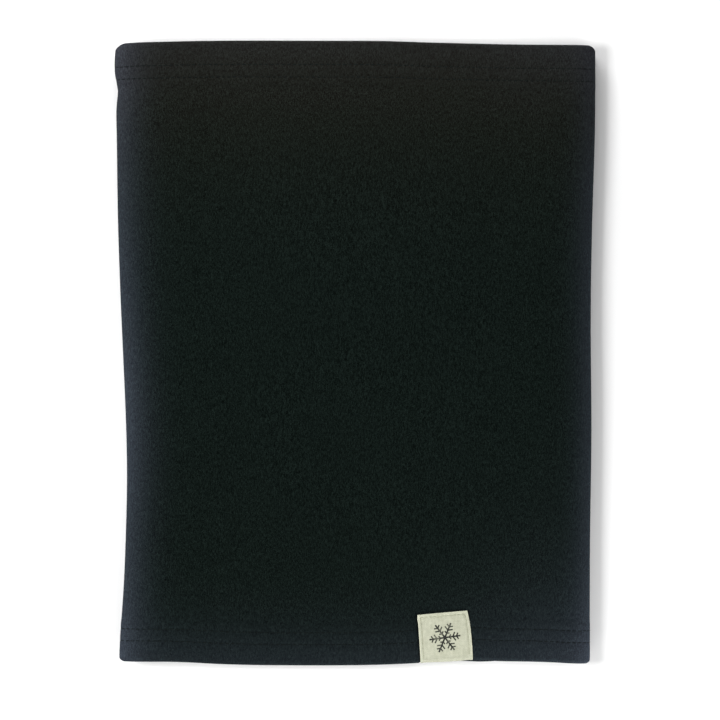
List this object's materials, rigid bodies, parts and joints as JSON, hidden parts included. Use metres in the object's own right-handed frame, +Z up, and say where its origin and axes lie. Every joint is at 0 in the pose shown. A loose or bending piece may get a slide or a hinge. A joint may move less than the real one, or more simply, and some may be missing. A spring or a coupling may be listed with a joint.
{
  "type": "neck gaiter",
  "caption": "Tube of black stretch fleece worn round the neck, lying flat, with coverstitched hems at both mouths, a side seam in one fold and a small folded label on the bottom hem.",
  "frame": {"origin": "on the resting surface, under the middle of the bounding box of the flat tube", "axes": "+Y up the neck, from the hem with the label to the top hem; +X to the right as the label is seen; +Z up from the resting surface"},
  "size_m": [0.2399, 0.3122, 0.0129],
  "materials": {
    "fleece": "matte",
    "sewing_thread": "matte",
    "label_cotton": "matte",
    "label_thread": "matte"
  },
  "bodies": {
    "root": {"fleece_panel": "fleece", "side_seam_outer_needle_thread": "sewing_thread", "side_seam_inner_needle_thread": "sewing_thread", "side_seam_upper_looper_thread": "sewing_thread", "side_seam_lower_looper_thread": "sewing_thread", "top_hem_edge_needle_thread": "sewing_thread", "top_hem_inner_needle_thread": "sewing_thread", "top_hem_looper_thread": "sewing_thread", "bottom_hem_edge_needle_thread": "sewing_thread", "bottom_hem_inner_needle_thread": "sewing_thread", "bottom_hem_looper_thread": "sewing_thread", "hem_label": "label_cotton", "label_needle_thread": "label_thread", "label_bobbin_thread": "label_thread"}
  },
  "joints": []
}
